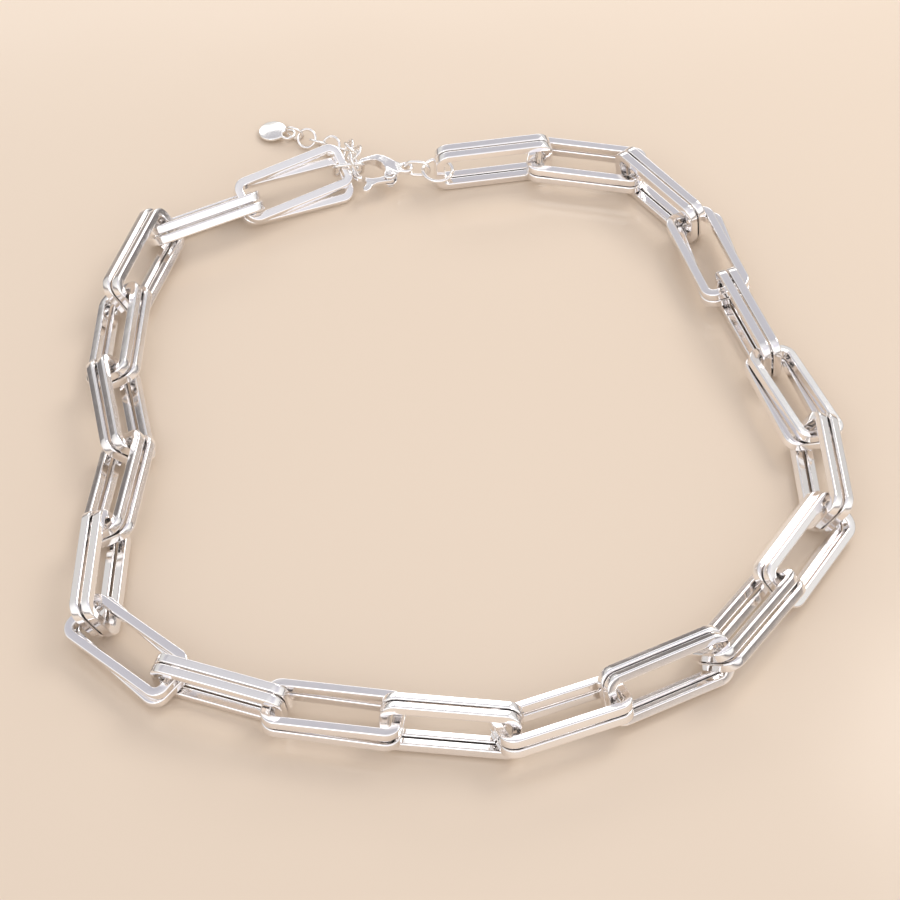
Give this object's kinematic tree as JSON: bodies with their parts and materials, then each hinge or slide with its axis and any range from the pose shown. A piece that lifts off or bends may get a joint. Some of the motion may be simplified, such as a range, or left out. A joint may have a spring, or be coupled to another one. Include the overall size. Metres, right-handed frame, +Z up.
{
  "type": "chain necklace",
  "caption": "Necklace of paired oblong square-wire rings with a lobster clasp, a short ring extender and a small round end tag.",
  "frame": {"origin": "centre of the footprint, on the surface the necklace lies on", "axes": "+Z up from the surface, +Y from the front of the loop towards the clasp, +X to the right with the clasp at the back"},
  "size_m": [0.1448, 0.166, 0.0108],
  "materials": {
    "link_silver": "polished",
    "fitting_silver": "polished",
    "clasp_silver": "polished",
    "rivet_silver": "satin"
  },
  "bodies": {
    "station_01": {"link_01_a": "link_silver", "link_01_b": "link_silver"},
    "station_02": {"link_02_a": "link_silver", "link_02_b": "link_silver"},
    "station_03": {"link_03_a": "link_silver", "link_03_b": "link_silver"},
    "station_04": {"link_04_a": "link_silver", "link_04_b": "link_silver"},
    "station_05": {"link_05_a": "link_silver", "link_05_b": "link_silver"},
    "station_06": {"link_06_a": "link_silver", "link_06_b": "link_silver"},
    "station_07": {"link_07_a": "link_silver", "link_07_b": "link_silver"},
    "station_08": {"link_08_a": "link_silver", "link_08_b": "link_silver"},
    "station_09": {"link_09_a": "link_silver", "link_09_b": "link_silver"},
    "station_10": {"link_10_a": "link_silver", "link_10_b": "link_silver"},
    "station_11": {"link_11_a": "link_silver", "link_11_b": "link_silver"},
    "station_12": {"link_12_a": "link_silver", "link_12_b": "link_silver"},
    "station_13": {"link_13_a": "link_silver", "link_13_b": "link_silver"},
    "station_14": {"link_14_a": "link_silver", "link_14_b": "link_silver"},
    "station_15": {"link_15_a": "link_silver", "link_15_b": "link_silver"},
    "station_16": {"link_16_a": "link_silver", "link_16_b": "link_silver"},
    "station_17": {"link_17_a": "link_silver", "link_17_b": "link_silver"},
    "station_18": {"link_18_a": "link_silver", "link_18_b": "link_silver"},
    "station_19": {"link_19_a": "link_silver", "link_19_b": "link_silver"},
    "station_20": {"link_20_a": "link_silver", "link_20_b": "link_silver"},
    "station_21": {"link_21_a": "link_silver", "link_21_b": "link_silver"},
    "station_22": {"link_22_a": "link_silver", "link_22_b": "link_silver"},
    "end_ring": {"end_ring": "fitting_silver"},
    "extender_1": {"extender_ring_1": "fitting_silver"},
    "extender_2": {"extender_ring_2": "fitting_silver"},
    "extender_3": {"extender_ring_3": "fitting_silver"},
    "extender_4": {"extender_ring_4": "fitting_silver"},
    "extender_5": {"extender_ring_5": "fitting_silver"},
    "extender_6": {"extender_ring_6": "fitting_silver"},
    "extender_7": {"extender_ring_7": "fitting_silver"},
    "extender_8": {"extender_ring_8": "fitting_silver"},
    "extender_9": {"extender_ring_9": "fitting_silver"},
    "tag": {"tag": "fitting_silver"},
    "tail_ring": {"tail_ring": "fitting_silver"},
    "eye_ring": {"eye_ring": "fitting_silver"},
    "lobster": {"lobster_body": "clasp_silver", "lobster_rivet": "rivet_silver"},
    "lever": {"lobster_lever": "clasp_silver"}
  },
  "joints": [
    {"name": "lever_pivot", "type": "hinge", "parent": "lobster", "child": "lever", "pos_m": [-0.0145, 0.06202, 0.00388], "axis": [0, 0, 1], "range_deg": [0, 20]},
    {"name": "swing_10", "type": "hinge", "parent": "station_11", "child": "station_10", "pos_m": [-0.01199, -0.07558, 0.00523], "axis": [0.0631, -0.998, 0.0096], "range_deg": [-5, 5]},
    {"name": "swing_09", "type": "hinge", "parent": "station_10", "child": "station_09", "pos_m": [-0.03203, -0.07241, 0.00516], "axis": [0.0812, 0.9967, -0.0093], "range_deg": [-5, 5]},
    {"name": "swing_08", "type": "hinge", "parent": "station_09", "child": "station_08", "pos_m": [-0.05126, -0.06627, 0.0049], "axis": [-0.226, -0.9741, 0.0075], "range_deg": [-5, 5]},
    {"name": "swing_07", "type": "hinge", "parent": "station_08", "child": "station_07", "pos_m": [-0.06594, -0.05331, 0.00478], "axis": [0.3568, 0.9342, -0.0071], "range_deg": [-5, 5]},
    {"name": "swing_06", "type": "hinge", "parent": "station_07", "child": "station_06", "pos_m": [-0.06473, -0.03327, 0.00504], "axis": [-0.4085, -0.9127, 0.0107], "range_deg": [-5, 5]},
    {"name": "swing_05", "type": "hinge", "parent": "station_06", "child": "station_05", "pos_m": [-0.06217, -0.01338, 0.00488], "axis": [0.4674, 0.8839, -0.0113], "range_deg": [-5, 5]},
    {"name": "swing_04", "type": "hinge", "parent": "station_05", "child": "station_04", "pos_m": [-0.06708, 0.00586, 0.00485], "axis": [-0.6175, -0.7865, 0.0129], "range_deg": [-5, 5]},
    {"name": "swing_03", "type": "hinge", "parent": "station_04", "child": "station_03", "pos_m": [-0.06637, 0.02585, 0.00524], "axis": [0.7601, 0.6495, -0.0227], "range_deg": [-5, 5]},
    {"name": "swing_02", "type": "hinge", "parent": "station_03", "child": "station_02", "pos_m": [-0.06114, 0.0451, 0.00527], "axis": [-0.8985, -0.438, 0.0308], "range_deg": [-5, 5]},
    {"name": "swing_01", "type": "hinge", "parent": "station_02", "child": "station_01", "pos_m": [-0.04335, 0.05395, 0.00466], "axis": [0.9013, 0.432, -0.0309], "range_deg": [-5, 5]},
    {"name": "swing_11", "type": "hinge", "parent": "station_11", "child": "station_12", "pos_m": [0.00794, -0.07815, 0.00526], "axis": [-0.1976, 0.9802, -0.0094], "range_deg": [-5, 5]},
    {"name": "swing_12", "type": "hinge", "parent": "station_12", "child": "station_13", "pos_m": [0.02648, -0.07069, 0.00519], "axis": [0.33, -0.9439, 0.0091], "range_deg": [-5, 5]},
    {"name": "swing_13", "type": "hinge", "parent": "station_13", "child": "station_14", "pos_m": [0.04459, -0.062, 0.00546], "axis": [-0.4588, 0.8884, -0.0111], "range_deg": [-5, 5]},
    {"name": "swing_14", "type": "hinge", "parent": "station_14", "child": "station_15", "pos_m": [0.05662, -0.04595, 0.00518], "axis": [0.5735, -0.8192, 0.0096], "range_deg": [-5, 5]},
    {"name": "swing_15", "type": "hinge", "parent": "station_15", "child": "station_16", "pos_m": [0.06788, -0.02943, 0.00512], "axis": [-0.6858, 0.7277, -0.0095], "range_deg": [-5, 5]},
    {"name": "swing_16", "type": "hinge", "parent": "station_16", "child": "station_17", "pos_m": [0.06659, -0.00958, 0.00505], "axis": [0.762, -0.6475, 0.0102], "range_deg": [-5, 5]},
    {"name": "swing_17", "type": "hinge", "parent": "station_17", "child": "station_18", "pos_m": [0.05958, 0.00928, 0.00497], "axis": [-0.8233, 0.5675, -0.0111], "range_deg": [-5, 5]},
    {"name": "swing_18", "type": "hinge", "parent": "station_18", "child": "station_19", "pos_m": [0.05279, 0.02846, 0.00502], "axis": [0.897, -0.4417, 0.0138], "range_deg": [-5, 5]},
    {"name": "swing_19", "type": "hinge", "parent": "station_19", "child": "station_20", "pos_m": [0.04756, 0.04785, 0.00503], "axis": [-0.9708, 0.2395, -0.0162], "range_deg": [-5, 5]},
    {"name": "swing_20", "type": "hinge", "parent": "station_20", "child": "station_21", "pos_m": [0.03587, 0.064, 0.00491], "axis": [0.9998, -0.0129, 0.018], "range_deg": [-5, 5]},
    {"name": "swing_21", "type": "hinge", "parent": "station_21", "child": "station_22", "pos_m": [0.01658, 0.06752, 0.00484], "axis": [-0.9969, -0.0742, -0.0253], "range_deg": [-5, 5]},
    {"name": "end_ring_turn", "type": "hinge", "parent": "station_01", "child": "end_ring", "pos_m": [-0.02086, 0.06473, 0.00388], "axis": [0.9302, 0.3315, -0.1573], "range_deg": [-3, 0]},
    {"name": "tail_turn", "type": "hinge", "parent": "station_22", "child": "tail_ring", "pos_m": [-0.02086, 0.06473, 0.00388], "axis": [-0.9939, 0.0694, -0.0854], "range_deg": [-5, 5]},
    {"name": "eye_ring_turn", "type": "hinge", "parent": "tail_ring", "child": "eye_ring", "pos_m": [-0.02086, 0.06473, 0.00388], "axis": [-0.9985, 0.0424, -0.0357], "range_deg": [-5, 2]},
    {"name": "lobster_turn", "type": "hinge", "parent": "eye_ring", "child": "lobster", "pos_m": [-0.02086, 0.06473, 0.00388], "axis": [-0.9994, -0.035, 0], "range_deg": [-3, 0]},
    {"name": "extender_turn_1", "type": "hinge", "parent": "end_ring", "child": "extender_1", "pos_m": [-0.02226, 0.06376, 0.00651], "axis": [0.2656, 0.9641, 0], "range_deg": [-5, 0]},
    {"name": "extender_turn_2", "type": "hinge", "parent": "extender_1", "child": "extender_2", "pos_m": [-0.02196, 0.06507, 0.00691], "axis": [-0.9999, -0.0135, 0], "range_deg": [-5, 2]},
    {"name": "extender_turn_3", "type": "hinge", "parent": "extender_2", "child": "extender_3", "pos_m": [-0.0222, 0.0678, 0.00612], "axis": [0, 0, 1], "range_deg": [-7, 7]},
    {"name": "extender_turn_4", "type": "hinge", "parent": "extender_3", "child": "extender_4", "pos_m": [-0.02289, 0.07007, 0.00477], "axis": [-0.8966, -0.4429, 0], "range_deg": [-7, 7]},
    {"name": "extender_turn_5", "type": "hinge", "parent": "extender_4", "child": "extender_5", "pos_m": [-0.02416, 0.0718, 0.00314], "axis": [0, 0, 1], "range_deg": [-7, 7]},
    {"name": "extender_turn_6", "type": "hinge", "parent": "extender_5", "child": "extender_6", "pos_m": [-0.02608, 0.07343, 0.00213], "axis": [-0.6, -0.8, 0], "range_deg": [-7, 7]},
    {"name": "extender_turn_7", "type": "hinge", "parent": "extender_6", "child": "extender_7", "pos_m": [-0.02851, 0.07485, 0.00186], "axis": [0, 0, 1], "range_deg": [-7, 7]},
    {"name": "extender_turn_8", "type": "hinge", "parent": "extender_7", "child": "extender_8", "pos_m": [-0.03113, 0.07599, 0.00185], "axis": [-0.3976, -0.9176, 0], "range_deg": [-7, 7]},
    {"name": "extender_turn_9", "type": "hinge", "parent": "extender_8", "child": "extender_9", "pos_m": [-0.03376, 0.07711, 0.00208], "axis": [0, 0, 1], "range_deg": [-7, 7]},
    {"name": "extender_turn_10", "type": "hinge", "parent": "extender_9", "child": "tag", "pos_m": [-0.03651, 0.07851, 0.00183], "axis": [0, 0, 1], "range_deg": [-7, 7]}
  ]
}
